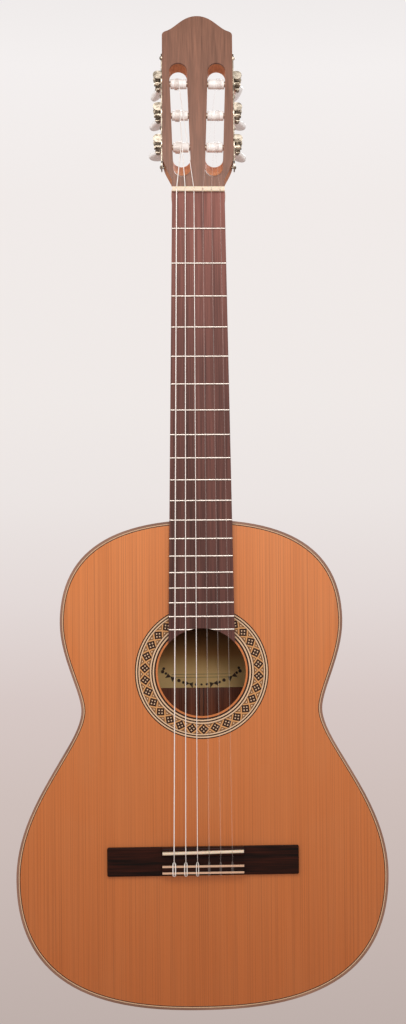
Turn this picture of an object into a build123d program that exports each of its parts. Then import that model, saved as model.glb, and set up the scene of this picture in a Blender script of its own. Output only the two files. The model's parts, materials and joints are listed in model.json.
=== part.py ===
from build123d import *
import math
import os

os.makedirs("parts", exist_ok=True)

# A classical guitar, standing on its tail with its front towards -Y and its neck up +Z.
# The origin is the middle of the nut's front edge, in the plane of the fingerboard's face.
# Body and neck are drawn in flat coordinates (x, s, depth): s runs down from the nut and
# depth runs back from the fingerboard's face. The head has the same coordinates, tilted.

# ---- driving dimensions, millimetres ----
scale_length = 650.0
compensation = 2.7

# body outline: the neck meets the body at half the scale, and the three bouts and the
# sound hole lie at set distances below the body's top
neck_join = scale_length / 2
body_top = neck_join - 0.4
body_length = 485.8
body_bottom = body_top + body_length
upper_half_width = 140.0
upper_bout = body_top + 101.6
waist_half_width = 119.3
waist = body_top + 188.1
lower_half_width = 184.3
lower_bout = body_top + 354.0
depth_at_heel = 92.0
depth_at_tail = 96.0
back_radius = 4500.0

soundboard_thickness = 2.5
back_thickness = 2.8
side_thickness = 2.2
binding_depth = 6.0
purfling_width = 1.8
purfling_depth = 1.6
lining_width = 5.0
lining_depth = 14.0

sound_hole = body_top + 151.0
sound_hole_radius = 43.8
rosette_inner_radius = 45.6
rosette_outer_radius = 66.4
rosette_depth = 1.6
back_strip_width = 5.0

# blocks, braces and label inside the body
end_block_width = 60.0
end_block_length = 14.0
neck_block_width = 64.0
neck_block_length = 26.0
fan_count = 7
fan_low = body_bottom - 40.4
fan_high = sound_hole + 76.4
fan_low_step = 6.0
fan_high_step = 4.0
fan_spread_low = 34.0
fan_spread_high = 18.0
fan_brace_width = 6.0
fan_brace_height = 5.0
harmonic_bars = (sound_hole - 80.0, sound_hole + 62.0)
harmonic_bar_width = 8.0
harmonic_bar_height = 16.0
back_bars = (body_top + 60.4, body_top + 217.4, body_top + 365.4)
back_bar_width = 10.0
back_bar_height = 12.0
bar_end_gap = 0.5
patch_thickness = 2.0
patch_margin = 2.0
label_half_width = 60.0
label_top = sound_hole - 51.6
label_bottom = sound_hole + 23.9
label_thickness = 0.3

# neck and fingerboard
nut_width = 52.0
nut_length = 5.0
width_at_join = 62.0
fingerboard_thickness = 7.0
fret_count = 19
fret_width = 2.0
fret_height = 1.1
fret_tang = 0.6
fret_tang_depth = 2.2
shaft_depth_at_nut = 15.0
shaft_depth_at_heel = 17.5
shaft_low = neck_join - 63.0
scarf_low = 30.0
shaft_squareness = 2.3
scarf_middle = 12.0
scarf_middle_squareness = 2.4
nut_squareness = 3.6
head_squareness = 12.0
nut_depth_extra = 2.6
scarf_depth_extra = 0.3
heel_start = 10.0
heel_squareness = 2.2
heel_narrowing = 22.0
heel_reach = 70.0
heel_reach_narrowing = 14.0
heel_overlap = 4.0
heel_side_gap = 0.4
heel_cap_width = 27.0
heel_cap_length = 20.0
heel_cap_thickness = 3.0
tenon_width = 20.0
tenon_length = 12.0

# strings, from the sixth (lowest) to the first (highest)
string_span_at_nut = 43.0
string_span_at_saddle = 57.4
string_diameters = (1.10, 0.90, 0.75, 1.02, 0.82, 0.72)
nut_rise = 3.0
string_clearance_at_nut = 1.8
string_groove_clearance = 0.03
saddle_height_bass = 6.3
saddle_height_treble = 5.7
string_bends = [8.0, 4.0, 3.0, 1.5, 1.5]

# bridge
bridge_top_to_saddle = 4.7
bridge_length = 189.5
bridge_width = 28.5
bridge_wing_height = 3.2
bridge_centre_length = 80.6
bridge_ridge_height = 8.6
bridge_ridge_width = 9.0
bridge_channel_height = 3.4
tie_block_width = 8.4
tie_block_height = 8.4
tie_hole_height = 4.2
tie_hole_radius = 0.95
tie_strip_width = 2.0
tie_strip_thickness = 1.0
tie_block_end_margin = 2.4
bridge_corner_radius = 1.5
bridge_edge_radius = 0.8
bridge_ridge_radius = 2.0
saddle_thickness = 2.8
saddle_slant = 0.85
saddle_slot_depth = 5.0
saddle_end_margin = 0.3

# head
head_tilt = 15.0
head_thickness = 18.0
veneer_thickness = 2.5
head_half_width = 35.6
head_flare_start = 15.5
head_flare_end = 44.0
head_shoulder = 173.4
head_crown = 195.5
head_corner_half_width = 31.0
head_corner_rise = 5.3
head_foot = 15.0
slot_top = 142.9
slot_ramp_end = 17.4
slot_ramp_length = 20.0
slot_half_width = 8.9
slot_centre_top = 19.4
slot_centre_low = 16.4

# tuning machines
roller_pitch = 35.0
middle_roller = 88.7
roller_depth = 9.5
roller_radius = 4.9
roller_end_gap = 0.8
journal_radius = 3.0
journal_clearance = 0.08
journal_insert = 5.0
journal_end_gap = 0.4
plate_thickness = 1.2
plate_half_width = 6.4
plate_low = 27.5
plate_high = 157.5
plate_lobe_radius = 9.0
plate_boss_radius = 4.1
cog_teeth = 14
cog_pitch_radius = 5.1
cog_tip_radius = 5.6
cog_root_radius = 4.35
cog_thickness = 4.0
cog_gap = 1.6
cog_boss_gap = 0.3
cog_screw_radius = 2.2
cog_screw_height = 1.3
worm_pitch_radius = 2.5
worm_tip_radius = 2.95
worm_root_radius = 1.7
worm_turns = 3
worm_journal_radius = 1.4
worm_collar_radius = 2.4
ear_thickness = 1.6
ear_gap = 0.4
ear_radius = 4.4
button_start = 26.0
button_length = 18.0
button_half_width = 9.5
button_half_thickness = 3.3
button_socket = 6.0
button_turns = (5.0, 25.0, 45.0, 55.0, -15.0, -25.0)
plate_screw_radius = 1.3
plate_screw_head_radius = 2.3
plate_screw_length = 9.0
winding_turns = 4
winding_gap = 0.3

# ---- worked out from the sizes above ----
tilt = math.radians(head_tilt)
flat = Plane(origin=(0, 0, 0), x_dir=(1, 0, 0), z_dir=(0, 1, 0))
head_flat = Plane(
    origin=(0, 0, 0),
    x_dir=(1, 0, 0),
    z_dir=(0, -math.cos(tilt), math.sin(tilt)),
)
soundboard_front = fingerboard_thickness
soundboard_back = soundboard_front + soundboard_thickness
veneer_back = fingerboard_thickness * math.cos(tilt) - nut_length * math.sin(tilt)
veneer_front = veneer_back - veneer_thickness
head_back = veneer_back + head_thickness
saddle_line = scale_length + compensation
bridge_top = saddle_line - bridge_top_to_saddle
tie_block_end = bridge_top + bridge_width - tie_block_end_margin
tie_block_start = tie_block_end - tie_block_width
roller_centres = [middle_roller + roller_pitch * k for k in (-1, 0, 1)]
roller_axis_depth = veneer_front + roller_depth
worm_offset = cog_pitch_radius + worm_pitch_radius
worm_pitch = 2 * math.pi * cog_pitch_radius / cog_teeth

# centre of the sphere that the domed back is cut from
apex = (
    (body_bottom**2 - body_top**2) - 2 * back_radius * (depth_at_tail - depth_at_heel)
) / (2 * (body_bottom - body_top))
back_centre_depth = (
    soundboard_front
    + depth_at_tail
    - math.sqrt(back_radius**2 - (body_bottom - apex) ** 2)
)


def save(shape, name):
    shape.label = name
    export_step(shape, f"parts/{name}.step")


def solids(shape):
    return Compound(children=list(shape.solids()))


# ---- body ----
def outline(inset=0.0):
    """The body's outline as a face, moved inwards by inset all round."""
    top = body_top + inset
    bottom = body_bottom - inset
    upper = upper_half_width - inset
    narrow = waist_half_width - inset
    lower = lower_half_width - inset
    half = [
        Bezier(
            (0, top),
            (0.70 * upper, top),
            (upper, upper_bout - 0.63 * (upper_bout - top)),
            (upper, upper_bout),
        ),
        Bezier(
            (upper, upper_bout),
            (upper, upper_bout + 0.39 * (waist - upper_bout)),
            (narrow, waist - 0.22 * (waist - upper_bout)),
            (narrow, waist),
        ),
        Bezier(
            (narrow, waist),
            (narrow, waist + 0.21 * (lower_bout - waist)),
            (lower, lower_bout - 0.45 * (lower_bout - waist)),
            (lower, lower_bout),
        ),
        Bezier(
            (lower, lower_bout),
            (lower, lower_bout + 0.93 * (bottom - lower_bout)),
            (0.39 * lower, bottom),
            (0, bottom),
        ),
    ]
    other = [edge.mirror(Plane.YZ) for edge in half]
    return make_face(half + other)


def slab(face, start, end):
    """A flat face drawn as (x, s), made solid between two depths."""
    return flat * Pos(0, 0, start) * extrude(face, end - start, dir=(0, 0, 1))


def ring(outer_inset, inner_inset, start, end):
    outer = slab(outline(outer_inset), start, end)
    inner = slab(outline(inner_inset), start - 1, end + 1)
    return outer - inner


def dome(inside=0.0):
    """Everything in front of the back's outer face, less a thickness."""
    ball = Sphere(back_radius - inside)
    return flat * Pos(0, apex, back_centre_depth) * ball


def box_between(x0, x1, s0, s1, d0, d1):
    block = Box(x1 - x0, s1 - s0, d1 - d0, align=(Align.MIN, Align.MIN, Align.MIN))
    return flat * Pos(x0, s0, d0) * block


def disc(radius, start, end):
    """A round slab on the sound hole's centre."""
    round_face = Pos(0, sound_hole) * Circle(radius)
    return slab(round_face, start, end)


def fingerboard_half_width(s):
    slope = (width_at_join - nut_width) / 2 / neck_join
    return nut_width / 2 + slope * s


deepest = soundboard_front + depth_at_tail + 40.0
inside_edge = side_thickness + lining_width


def make_soundboard():
    board = slab(outline(side_thickness), soundboard_front, soundboard_back)
    board -= ring(
        side_thickness - 1,
        side_thickness + purfling_width,
        soundboard_front - 1,
        soundboard_front + purfling_depth,
    )
    board -= disc(sound_hole_radius, soundboard_front - 1, soundboard_back + 1)
    channel = disc(rosette_outer_radius, soundboard_front - 1, soundboard_front + rosette_depth)
    channel -= disc(rosette_inner_radius, soundboard_front - 2, soundboard_back)
    return board - channel


def make_rosette():
    band = disc(rosette_outer_radius, soundboard_front, soundboard_front + rosette_depth)
    return band - disc(rosette_inner_radius, soundboard_front - 1, soundboard_back)


def make_purfling():
    return ring(
        side_thickness,
        side_thickness + purfling_width,
        soundboard_front,
        soundboard_front + purfling_depth,
    )


def make_binding_top():
    return ring(0, side_thickness, soundboard_front, soundboard_front + binding_depth)


def make_binding_back():
    band = ring(0, side_thickness, soundboard_back + 20, deepest) & dome()
    return band - dome(binding_depth)


def make_sides():
    """Two bent sides between the bindings, open where the neck's tenon passes."""
    wall = ring(0, side_thickness, soundboard_front + binding_depth, deepest)
    wall &= dome(binding_depth)
    half = tenon_width / 2
    wall -= box_between(-half, half, body_top - 5, body_top + 10, 0, deepest)
    reach = lower_half_width + 10
    bass = wall & box_between(-reach, 0, body_top - 10, body_bottom + 10, 0, deepest)
    treble = wall & box_between(0, reach, body_top - 10, body_bottom + 10, 0, deepest)
    return bass, treble


def make_back():
    plate = slab(outline(side_thickness), soundboard_back + 20, deepest) & dome()
    plate -= dome(back_thickness)
    strip = make_back_strip_space()
    return plate - strip


def make_back_strip_space():
    half = back_strip_width / 2
    return box_between(-half, half, body_top - 5, body_bottom + 5, 30, deepest)


def make_back_strip():
    plate = slab(outline(side_thickness), soundboard_back + 20, deepest) & dome()
    plate -= dome(back_thickness)
    return plate & make_back_strip_space()


def make_linings():
    """Strips that widen the glue joint between the sides and the two plates."""
    front = ring(side_thickness, inside_edge, soundboard_back, soundboard_back + lining_depth)
    rear = ring(side_thickness, inside_edge, soundboard_back + 30, deepest)
    rear &= dome(back_thickness)
    rear -= dome(back_thickness + lining_depth)
    clear_blocks = block_spaces()
    return solids((front - clear_blocks) + (rear - clear_blocks))


def block_spaces():
    ends = box_between(
        -end_block_width / 2,
        end_block_width / 2,
        body_bottom - side_thickness - end_block_length,
        body_bottom + 5,
        0,
        deepest,
    )
    top = box_between(
        -neck_block_width / 2,
        neck_block_width / 2,
        body_top - 5,
        body_top + side_thickness + neck_block_length,
        0,
        deepest,
    )
    return ends + top


def make_block(width, start, end):
    block = slab(outline(side_thickness), soundboard_back, deepest) & dome(back_thickness)
    return block & box_between(-width / 2, width / 2, start, end, 0, deepest)


def make_end_block():
    edge = body_bottom - side_thickness
    return make_block(end_block_width, edge - end_block_length, edge + 5)


def make_neck_block():
    edge = body_top + side_thickness
    block = make_block(neck_block_width, edge - 5, edge + neck_block_length)
    return block - tenon_space()


def tenon_space():
    half = tenon_width / 2
    end = body_top + side_thickness + tenon_length
    top = soundboard_front + binding_depth
    return box_between(-half, half, body_top - 6, end, top, tenon_bottom())


def tenon_bottom():
    return soundboard_front + depth_at_heel - 20.0


def brace(x0, s0, x1, s1, width, height):
    """A strut glued under the soundboard, from one point to another."""
    run = math.hypot(x1 - x0, s1 - s0)
    turn = math.degrees(math.atan2(s1 - s0, x1 - x0))
    section = Polyline(
        (-width / 2, 0), (width / 2, 0), (width / 4, height), (-width / 4, height), close=True
    )
    bar = extrude(Plane.YZ * make_face(section), run)
    place = Pos(x0, s0, soundboard_back) * Rot(0, 0, turn)
    return flat * place * bar


def make_fan_braces():
    bars = []
    for k in range(fan_count):
        side = k - (fan_count - 1) / 2
        end = fan_low - fan_low_step * abs(side)
        start = fan_high + fan_high_step * abs(side)
        x_start = side * fan_spread_high
        x_end = side * fan_spread_low
        bars.append(brace(x_start, start, x_end, end, fan_brace_width, fan_brace_height))
    space = bridge_patch_space()
    return solids(Compound(children=[bar - space for bar in bars]))


def make_harmonic_bars():
    bars = []
    inner = slab(outline(inside_edge + bar_end_gap), soundboard_back, deepest)
    reach = lower_half_width
    for s in harmonic_bars:
        bar = brace(-reach, s, reach, s, harmonic_bar_width, harmonic_bar_height)
        bars.append(bar & inner)
    return solids(Compound(children=bars))


def bridge_patch_space():
    half = bridge_length / 2 - 2 * patch_margin
    return box_between(
        -half,
        half,
        bridge_top + patch_margin,
        bridge_top + bridge_width - patch_margin,
        soundboard_back,
        soundboard_back + patch_thickness,
    )


def make_back_bars():
    inner = slab(outline(inside_edge + bar_end_gap), soundboard_back + 30, deepest)
    shell = dome(back_thickness) - dome(back_thickness + back_bar_height)
    half = back_bar_width / 2
    reach = lower_half_width
    bars = []
    for s in back_bars:
        bars.append(inner & shell & box_between(-reach, reach, s - half, s + half, 30, deepest))
    return solids(Compound(children=bars))


def make_label():
    shell = dome(back_thickness) - dome(back_thickness + label_thickness)
    sheet = box_between(-label_half_width, label_half_width, label_top, label_bottom, 60, deepest)
    return shell & sheet


# ---- bridge ----
def make_bridge():
    """A wooden base with flat wings, a slotted ridge for the saddle and a tie block."""
    base_top = soundboard_front - bridge_wing_height
    base = box_between(
        -bridge_length / 2,
        bridge_length / 2,
        bridge_top,
        bridge_top + bridge_width,
        base_top,
        soundboard_front,
    )
    ends = base.edges().filter_by(Axis.Y)
    base = fillet(ends, bridge_corner_radius)
    front_edges = base.faces().sort_by(Axis.Y)[0].edges()
    base = fillet(front_edges, bridge_edge_radius)
    half = bridge_centre_length / 2
    ridge = box_between(
        -half,
        half,
        bridge_top,
        bridge_top + bridge_ridge_width,
        soundboard_front - bridge_ridge_height,
        soundboard_front - 1,
    )
    ridge = fillet(ridge.edges().filter_by(Axis.X).group_by(Axis.Y)[0], bridge_ridge_radius)
    block = box_between(
        -half,
        half,
        tie_block_start,
        tie_block_end,
        soundboard_front - tie_block_height,
        soundboard_front - 1,
    )
    floor = box_between(
        -half,
        half,
        bridge_top + 1,
        tie_block_end,
        soundboard_front - bridge_channel_height,
        soundboard_front - 1,
    )
    body = base + ridge + block + floor
    body -= saddle_slot()
    body -= tie_strip_spaces()
    for x, height in zip(string_x_at_saddle(), tie_hole_heights()):
        hole = Cylinder(tie_hole_radius, tie_block_width + 4)
        place = Pos(x, (tie_block_start + tie_block_end) / 2, height) * Rot(90, 0, 0)
        body -= flat * place * hole
    return body


def saddle_place(x):
    """How far the saddle's middle line lies from the nut: further on the bass side."""
    return saddle_line - x * math.tan(math.radians(saddle_slant))


def slanted(shape):
    """Turns the saddle, or its slot, about its middle."""
    return Pos(0, 0, -saddle_line) * Rot(0, -saddle_slant, 0) * Pos(0, 0, saddle_line) * shape


def saddle_slot():
    half = bridge_centre_length / 2 - saddle_end_margin
    slot = box_between(
        -half,
        half,
        saddle_line - saddle_thickness / 2,
        saddle_line + saddle_thickness / 2,
        soundboard_front - bridge_ridge_height - 10,
        soundboard_front - bridge_ridge_height + saddle_slot_depth,
    )
    return slanted(slot)


def tie_strip_spaces():
    half = bridge_centre_length / 2 + 1
    top = soundboard_front - tie_block_height
    spaces = []
    for edge in (tie_block_start - 1, tie_block_end - tie_strip_width):
        spaces.append(
            box_between(-half, half, edge, edge + tie_strip_width + 1, top - 1, top + tie_strip_thickness)
        )
    return spaces[0] + spaces[1]


def make_tie_strips():
    half = bridge_centre_length / 2
    block = box_between(
        -half,
        half,
        tie_block_start,
        tie_block_end,
        soundboard_front - tie_block_height,
        soundboard_front - 1,
    )
    return solids(block & tie_strip_spaces())


def make_saddle():
    """A bone strip, a little higher on the bass side, rounded over where the strings bend."""
    half = bridge_centre_length / 2 - saddle_end_margin
    foot = soundboard_front - bridge_ridge_height + saddle_slot_depth
    face = make_face(
        Polyline(
            (-half, foot),
            (half, foot),
            (half, -saddle_height_at(half)),
            (-half, -saddle_height_at(-half)),
            close=True,
        )
    )
    place = Plane(origin=(0, 0, -(saddle_line - saddle_thickness / 2)), x_dir=(1, 0, 0), z_dir=(0, 0, -1))
    strip = place * extrude(mirror(face, Plane.XZ), saddle_thickness)
    top_edges = strip.edges().filter_by(Axis.X, tolerance=1.5).group_by(Axis.Y)[0]
    return slanted(fillet(top_edges, saddle_thickness * 0.4))


def saddle_height_at(x):
    share = (x + string_span_at_saddle / 2) / string_span_at_saddle
    return saddle_height_bass + (saddle_height_treble - saddle_height_bass) * share


# ---- neck ----
def neck_section(s, half_width, depth, squareness):
    """A D-shaped section: flat under the fingerboard, rounded behind. Higher is squarer."""
    plane = Plane(origin=(0, fingerboard_thickness, -s), x_dir=(1, 0, 0), z_dir=(0, 0, 1))
    return plane * d_face(half_width, depth, squareness)


def d_face(half_width, depth, squareness):
    """Half of a rounded rectangle, its straight side along X and its belly towards +Y."""
    steps = 12
    power = 2.0 / squareness
    points = []
    for k in range(steps + 1):
        turn = math.pi * k / steps
        x = half_width * math.copysign(abs(math.cos(turn)) ** power, math.cos(turn))
        y = depth * abs(math.sin(turn)) ** power
        points.append((x, y))
    return make_face([Spline(*points), Line(points[-1], points[0])])


def shaft_depth(s):
    share = s / shaft_low
    return shaft_depth_at_nut + (shaft_depth_at_heel - shaft_depth_at_nut) * share


def make_shaft():
    sections = []
    third = (shaft_low - scarf_low) / 3
    places = [scarf_low, scarf_low + third, shaft_low - third, shaft_low, body_top + heel_overlap]
    for s in places:
        half = fingerboard_half_width(s)
        sections.append(neck_section(s, half, shaft_depth(s), shaft_squareness))
    return loft(sections)


def heel_section(depth):
    """The heel's outline at one depth: a tongue that points towards the nut."""
    half = heel_cap_width / 2
    narrowing = math.exp(-(depth - fingerboard_thickness) / heel_narrowing)
    half += (fingerboard_half_width(body_top) - heel_side_gap - half) * narrowing
    reach = heel_cap_length
    reach += heel_reach * math.exp(-(depth - heel_start) / heel_reach_narrowing)
    base = -(body_top + heel_overlap)
    plane = Plane(origin=(0, depth, base), x_dir=(1, 0, 0), z_dir=(0, -1, 0))
    return plane * d_face(half, reach + heel_overlap, heel_squareness)


def make_heel():
    bottom = soundboard_front + depth_at_heel - heel_cap_thickness
    shares = (0.0, 0.08, 0.17, 0.27, 0.43, 0.63, 0.85, 1.0)
    depths = [heel_start + (bottom - heel_start) * share for share in shares]
    return loft([heel_section(depth) for depth in depths])


def make_heel_cap():
    top = soundboard_front + depth_at_heel - heel_cap_thickness
    cap = extrude(heel_section(top), heel_cap_thickness, dir=(0, 1, 0))
    return cap - slab(outline(), 0, deepest)


def head_section(reach, half_width, squareness):
    """A section of the neck's top end, square to the tilted head."""
    plane = head_flat * Plane(origin=(0, reach, -veneer_back), x_dir=(1, 0, 0), z_dir=(0, 1, 0))
    return plane * d_face(half_width, head_thickness, squareness)


def make_scarf_end():
    """The stretch under the nut, where the rounded shaft turns into the flat head."""
    sections = [
        neck_section(
            scarf_low, fingerboard_half_width(scarf_low), shaft_depth(scarf_low), shaft_squareness
        ),
        neck_section(
            scarf_middle,
            fingerboard_half_width(scarf_middle),
            shaft_depth(scarf_middle) + scarf_depth_extra,
            scarf_middle_squareness,
        ),
        neck_section(
            -nut_length, nut_width / 2, shaft_depth_at_nut + nut_depth_extra, nut_squareness
        ),
        head_section(head_foot, nut_width / 2, head_squareness),
    ]
    return loft(sections)


def scarf_wedge():
    """Everything on the head's side of the slanting glue line behind the nut."""
    line = Polyline(
        (0, fingerboard_thickness - 1, nut_length + 1.5),
        (0, shaft_depth_at_nut + 25, -40),
        (0, shaft_depth_at_nut + 60, -40),
        (0, shaft_depth_at_nut + 60, 240),
        (0, fingerboard_thickness - 1, 240),
        close=True,
    )
    return extrude(make_face(line), 60, dir=(1, 0, 0), both=True)


def make_neck():
    blank = make_shaft() + make_heel() + make_scarf_end()
    blank -= slab(outline(), 0, deepest)
    blank += tenon_space()
    blank -= scarf_wedge()
    return blank - space_above_neck()


def space_above_neck():
    """Where the nut, the fingerboard and the head's veneer lie."""
    board = box_between(-50, 50, -nut_length, body_top + 10, -20, fingerboard_thickness)
    veneer = head_slab(Pos(0, 100) * Rectangle(100, 240), veneer_back - 30, veneer_back)
    return board + veneer


# ---- head ----
def head_slab(face, start, end):
    """A face drawn as (x, distance above the nut), made solid between two depths."""
    return head_flat * Pos(0, 0, -end) * extrude(face, end - start, dir=(0, 0, 1))


def head_outline():
    foot = nut_width / 2
    half = [
        Line((foot, head_foot), (foot, head_flare_start)),
        Bezier(
            (foot, head_flare_start),
            (foot + 3.5, head_flare_start + 9),
            (head_half_width, head_flare_end - 13),
            (head_half_width, head_flare_end),
        ),
        Line((head_half_width, head_flare_end), (head_half_width, head_shoulder)),
        Bezier(
            (head_half_width, head_shoulder),
            (head_half_width, head_shoulder + 0.6 * head_corner_rise),
            (0.95 * head_half_width, head_shoulder + 0.8 * head_corner_rise),
            (head_corner_half_width, head_shoulder + head_corner_rise),
        ),
        Bezier(
            (head_corner_half_width, head_shoulder + head_corner_rise),
            (0.71 * head_corner_half_width, head_shoulder + 1.57 * head_corner_rise),
            (0.48 * head_corner_half_width, head_crown),
            (0, head_crown),
        ),
    ]
    other = [edge.mirror(Plane.YZ) for edge in half]
    closing = Line((-foot, head_foot), (foot, head_foot))
    return make_face(half + other + [closing])


def slot_angle():
    rise = slot_top - slot_ramp_end - slot_ramp_length - 2 * slot_half_width
    return math.degrees(math.atan2(slot_centre_top - slot_centre_low, rise))


def slot_centre(reach):
    low = slot_ramp_end + slot_ramp_length + slot_half_width
    return slot_centre_low + (reach - low) * math.tan(math.radians(slot_angle()))


def slot_cut(side):
    """A slot right through the head, with a ramp for the strings at its lower end."""
    low = slot_ramp_end + slot_ramp_length + slot_half_width
    length = (slot_top - slot_half_width - low) / math.cos(math.radians(slot_angle()))
    width = 2 * slot_half_width
    shape = Pos(0, length / 2) * Rectangle(width, length)
    shape += Circle(slot_half_width) + Pos(0, length) * Circle(slot_half_width)
    through = extrude(shape, head_back - veneer_front + 2, dir=(0, 0, 1))
    through = Pos(0, 0, -1) * through
    rise = head_back - veneer_front
    slope = slot_ramp_length / rise
    over = 1.0
    ramp = extrude(
        Circle(slot_half_width),
        math.hypot(rise + over, (rise + over) * slope),
        dir=(0, -slope, 1),
    )
    wedge_line = Polyline(
        (0, 0, 0), (0, -(rise + over) * slope, rise + over), (0, 0, rise + over), close=True
    )
    wedge = extrude(make_face(wedge_line), slot_half_width, dir=(1, 0, 0), both=True)
    cut = through + ramp + wedge
    place = Pos(side * slot_centre_low, low, -head_back) * Rot(0, 0, -side * slot_angle())
    return head_flat * place * cut


def along_x(radius, x0, x1, reach, depth):
    """A rod along X through one point of the head."""
    rod = Rot(0, 90, 0) * Cylinder(radius, abs(x1 - x0))
    return head_flat * Pos((x0 + x1) / 2, reach, -depth) * rod


def journal_inner(reach):
    return slot_centre(reach) - slot_half_width - journal_insert


def journal_bores():
    bores = []
    for side in (-1, 1):
        for reach in roller_centres:
            inner = side * (journal_inner(reach) - journal_end_gap)
            outer = side * (head_half_width + 5)
            radius = journal_radius + journal_clearance
            bores.append(along_x(radius, inner, outer, reach, roller_axis_depth))
    return bores


def plate_screw_places():
    middles = [
        (roller_centres[0] + roller_centres[1] + worm_offset) / 2,
        (roller_centres[1] + roller_centres[2] + worm_offset) / 2,
    ]
    return [plate_low + 4.5] + middles + [plate_high - 4.5]


def plate_screw_holes(radius, start, end):
    holes = []
    for side in (-1, 1):
        for reach in plate_screw_places():
            holes.append(along_x(radius, side * start, side * end, reach, roller_axis_depth))
    return holes


def make_headstock():
    blank = head_slab(head_outline(), veneer_back, head_back)
    blank += make_scarf_end() & scarf_wedge()
    blank -= space_above_neck()
    for side in (-1, 1):
        blank -= slot_cut(side)
    blank -= journal_bores()
    blank -= plate_screw_holes(
        plate_screw_radius,
        head_half_width + plate_thickness - plate_screw_length,
        head_half_width + 5,
    )
    return blank


def make_head_veneer():
    foot = nut_length / math.cos(tilt) + veneer_front * math.tan(tilt)
    lower = Pos(0, (foot + head_foot) / 2) * Rectangle(nut_width, head_foot - foot + 0.001)
    sheet = head_slab(head_outline(), veneer_front, veneer_back)
    sheet += head_slab(lower, veneer_front, veneer_back)
    for side in (-1, 1):
        sheet -= slot_cut(side)
    return sheet - box_between(-40, 40, -nut_length, 60, -5, 30)


# ---- fingerboard, frets, nut ----
def fingerboard_end():
    """Where the fingerboard's sides meet the sound hole."""
    end = sound_hole
    for _ in range(20):
        half = fingerboard_half_width(end)
        end = sound_hole - math.sqrt(sound_hole_radius**2 - half**2)
    return end


def fret_place(number):
    return scale_length * (1 - 2 ** (-number / 12))


def fret_tang_box(number, extra):
    s = fret_place(number)
    half = fingerboard_half_width(s) + extra
    thick = fret_tang / 2
    return box_between(-half, half, s - thick, s + thick, -0.01, fret_tang_depth)


def make_fingerboard():
    end = fingerboard_end()
    corners = [
        (-nut_width / 2, 0),
        (nut_width / 2, 0),
        (fingerboard_half_width(end), end),
        (-fingerboard_half_width(end), end),
    ]
    board = slab(make_face(Polyline(*corners, close=True)), 0, fingerboard_thickness)
    board -= disc(sound_hole_radius, -5, fingerboard_thickness + 5)
    for number in range(1, fret_count + 1):
        board -= fret_tang_box(number, 5)
    return board


def make_frets():
    """Crowned wires, each with its tang in a slot; the last is split by the sound hole."""
    wires = []
    hole = disc(sound_hole_radius, -10, 20)
    for number in range(1, fret_count + 1):
        s = fret_place(number)
        half = fingerboard_half_width(s) - 0.3
        crown = make_face(
            [
                ThreePointArc((-fret_width / 2, 0), (0, -fret_height), (fret_width / 2, 0)),
                Line((fret_width / 2, 0), (-fret_width / 2, 0)),
            ]
        )
        side_plane = Plane(origin=(-half, 0, -s), x_dir=(0, 0, -1), z_dir=(1, 0, 0))
        wire = side_plane * extrude(crown, 2 * half, dir=(0, 0, 1))
        tang = box_between(-half, half, s - fret_tang / 2, s + fret_tang / 2, 0, fret_tang_depth)
        wires.append(wire + tang - hole)
    return solids(Compound(children=wires))


# ---- strings ----
def string_share(index):
    return index / 5 - 0.5


def string_x_at_nut():
    return [string_span_at_nut * string_share(k) for k in range(6)]


def string_x_at_saddle():
    return [string_span_at_saddle * string_share(k) for k in range(6)]


def tie_hole_heights():
    return [soundboard_front - tie_hole_height] * 6


def string_side(index):
    return -1 if index < 3 else 1


def string_roller(index):
    """The two outer strings go to the low rollers and the two inner ones to the top."""
    return roller_centres[(0, 1, 2, 2, 1, 0)[index]]


def head_point(x, reach, depth):
    return head_flat.from_local_coords(Vector(x, reach, -depth))


def string_route(index):
    """From the roller over the nut and saddle, through the tie block and back over it."""
    radius = string_diameters[index] / 2
    x_nut = string_x_at_nut()[index]
    x_saddle = string_x_at_saddle()[index]
    reach = string_roller(index)
    x_roller = string_side(index) * slot_centre(reach)
    front = roller_axis_depth - roller_radius - radius - winding_gap
    saddle_y = -saddle_height_at(x_saddle) - radius
    hole_y = tie_hole_heights()[index]
    over_y = soundboard_front - tie_block_height - radius - 0.05
    return [
        head_point(x_roller, reach, front),
        Vector(x_nut, -string_clearance_at_nut - radius, nut_length * 0.3),
        Vector(x_saddle, saddle_y, -saddle_place(x_saddle)),
        Vector(x_saddle, hole_y, -(tie_block_start - 1.5)),
        Vector(x_saddle, hole_y, -(tie_block_end + 1.6)),
        Vector(x_saddle, over_y, -(tie_block_end + 1.6)),
        Vector(x_saddle, over_y, -(tie_block_start - 1.0)),
    ]


def string_tube(index, extra):
    points = string_route(index)
    path = FilletPolyline(*points, radius=string_bends)
    radius = string_diameters[index] / 2 + extra
    start = Plane(origin=path @ 0, z_dir=path % 0)
    return sweep(start * Circle(radius), path=path)


def make_nut(grooves):
    block = box_between(
        -nut_width / 2,
        nut_width / 2,
        -nut_length,
        0,
        -nut_rise,
        fingerboard_thickness,
    )
    block = fillet(block.edges().filter_by(Axis.X).group_by(Axis.Y)[0], 1.0)
    for index, x in enumerate(string_x_at_nut()):
        half = string_diameters[index] / 2 + string_groove_clearance
        floor = -string_clearance_at_nut - half
        block -= box_between(x - half, x + half, -nut_length - 1, 1, -nut_rise - 1, floor)
        block -= grooves[index]
    return block


# ---- tuning machines, drawn on the +X side and mirrored for the bass side ----
def cog_middle():
    return head_half_width + plate_thickness + cog_gap + cog_thickness / 2


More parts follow.
